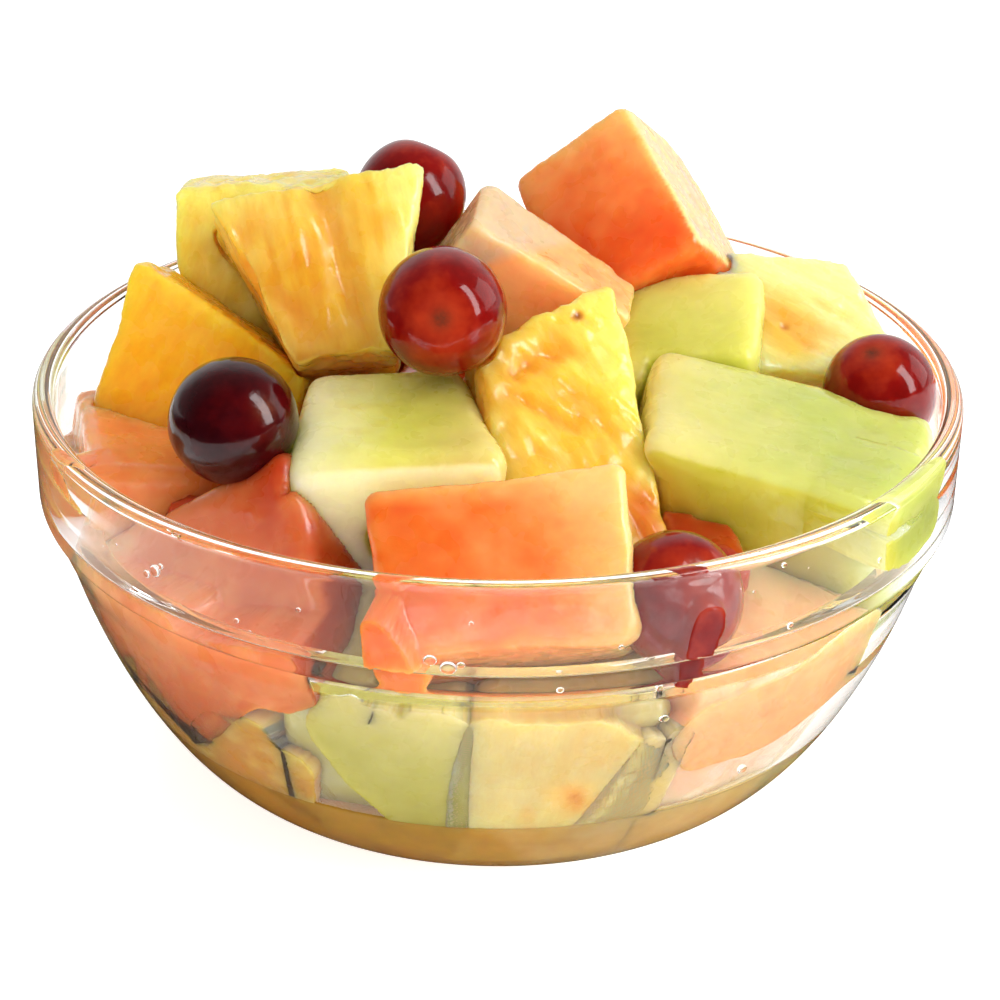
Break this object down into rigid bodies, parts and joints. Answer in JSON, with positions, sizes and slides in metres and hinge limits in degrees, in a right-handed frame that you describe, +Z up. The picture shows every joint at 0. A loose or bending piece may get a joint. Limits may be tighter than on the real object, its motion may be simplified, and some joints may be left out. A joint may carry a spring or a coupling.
{
  "type": "fruit salad in a glass bowl",
  "caption": "Round clear glass bowl with a wide rim band, heaped with cut melon, pineapple and mango chunks and whole red grapes.",
  "frame": {"origin": "middle of the foot's underside, which the bowl stands on", "axes": "+Z up, +X to the right and -Y to the front, where the heap's shown side is"},
  "size_m": [0.14, 0.14, 0.092],
  "materials": {
    "bowl_glass": "clear, polished",
    "cantaloupe_flesh": "wet, soft fruit flesh",
    "honeydew_flesh": "wet, soft fruit flesh",
    "pineapple_flesh": "wet, fibrous fruit flesh",
    "mango_flesh": "wet, fibrous fruit flesh",
    "red_grape": "smooth, glossy skin",
    "dark_grape": "smooth, glossy skin",
    "juice": "still liquid, golden"
  },
  "bodies": {
    "root": {"bowl": "bowl_glass", "cantaloupe_top_right": "cantaloupe_flesh", "grape_top_front": "red_grape", "grape_top_back": "red_grape", "grape_left": "dark_grape", "grape_right_rim": "red_grape", "grape_front_glass": "red_grape", "grape_right_glass": "red_grape", "grape_back_glass": "red_grape", "grape_left_glass": "dark_grape", "pineapple_double": "pineapple_flesh", "pineapple_back_left": "pineapple_flesh", "cantaloupe_rind_top": "cantaloupe_flesh", "cantaloupe_front": "cantaloupe_flesh", "pineapple_center": "pineapple_flesh", "honeydew_center": "honeydew_flesh", "honeydew_right": "honeydew_flesh", "pineapple_right_back": "pineapple_flesh", "honeydew_back": "honeydew_flesh", "mango_left": "mango_flesh", "cantaloupe_front_left": "cantaloupe_flesh", "cantaloupe_far_left": "cantaloupe_flesh", "cantaloupe_right_front": "cantaloupe_flesh", "honeydew_bottom": "honeydew_flesh", "pineapple_bottom": "pineapple_flesh", "honeydew_bottom_right": "honeydew_flesh", "pineapple_bottom_left": "pineapple_flesh", "mango_bottom_left": "mango_flesh", "pineapple_bottom_right": "pineapple_flesh", "cantaloupe_left_core": "cantaloupe_flesh", "cantaloupe_center_core": "cantaloupe_flesh", "honeydew_back_rim": "honeydew_flesh", "cantaloupe_back_left": "cantaloupe_flesh", "pineapple_back_right": "pineapple_flesh", "cantaloupe_right_side": "cantaloupe_flesh", "honeydew_left_side": "honeydew_flesh", "pineapple_back_low": "pineapple_flesh", "cantaloupe_back_low": "cantaloupe_flesh", "honeydew_right_low": "honeydew_flesh", "cantaloupe_left_low": "cantaloupe_flesh", "honeydew_core_front": "honeydew_flesh", "cantaloupe_core_back": "cantaloupe_flesh", "cantaloupe_core_top": "cantaloupe_flesh", "honeydew_core_right": "honeydew_flesh", "juice_pool": "juice"}
  },
  "joints": []
}
